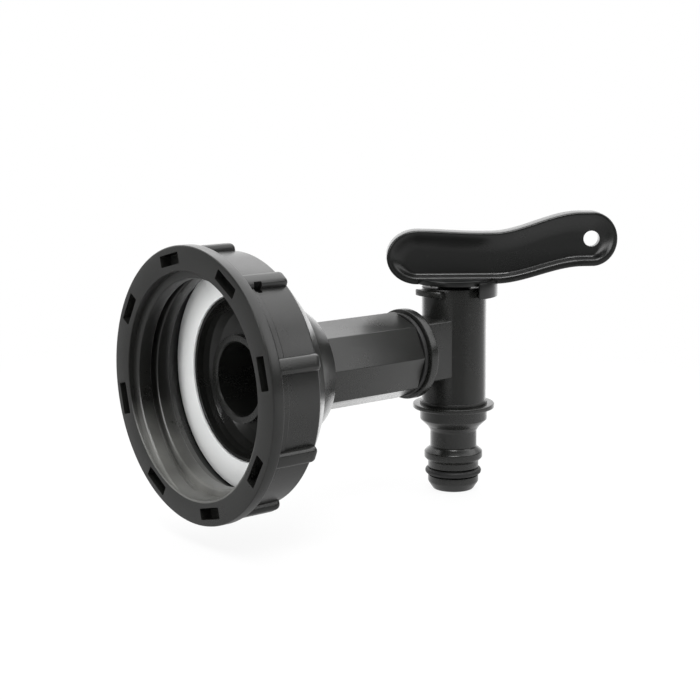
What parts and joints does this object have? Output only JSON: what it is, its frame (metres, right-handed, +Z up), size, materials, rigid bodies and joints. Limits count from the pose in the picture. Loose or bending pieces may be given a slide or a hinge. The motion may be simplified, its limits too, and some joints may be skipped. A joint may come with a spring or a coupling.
{
  "type": "ibc tap adapter",
  "caption": "Coarse-thread union nut and adapter with a lever tap and a push-on hose nipple, for drawing liquid from a bulk container outlet.",
  "frame": {"origin": "centre of the white sealing washer's front face, on the pipe axis, where the adapter seats on the container outlet", "axes": "+X along the pipe axis from the nut's mouth towards the tap; +Z up along the tap's axis, with the hose nipple pointing down; +Y to the left when looking along +X"},
  "size_m": [0.1342, 0.0746, 0.0836],
  "materials": {
    "black_polypropylene": "satin moulded",
    "black_body": "satin moulded",
    "black_lever": "satin moulded",
    "white_polyethylene": "smooth matt",
    "black_rubber": "dull"
  },
  "bodies": {
    "adapter": {"adapter_body": "black_body", "seal_washer": "white_polyethylene", "inlet_gasket": "black_rubber", "tap_body": "black_body", "nipple_o_ring": "black_rubber"},
    "nut": {"coupling_nut": "black_polypropylene"},
    "valve": {"lever": "black_lever", "valve_plug": "black_lever", "plug_o_ring_upper": "black_rubber", "plug_o_ring_lower": "black_rubber"}
  },
  "joints": [
    {"name": "nut_turn", "type": "hinge", "parent": "adapter", "child": "nut", "pos_m": [0, 0, 0], "axis": [1, 0, 0], "continuous": true},
    {"name": "valve_turn", "type": "hinge", "parent": "adapter", "child": "valve", "pos_m": [0.078, 0, 0], "axis": [0, 0, 1], "range_deg": [-52, 38]}
  ]
}
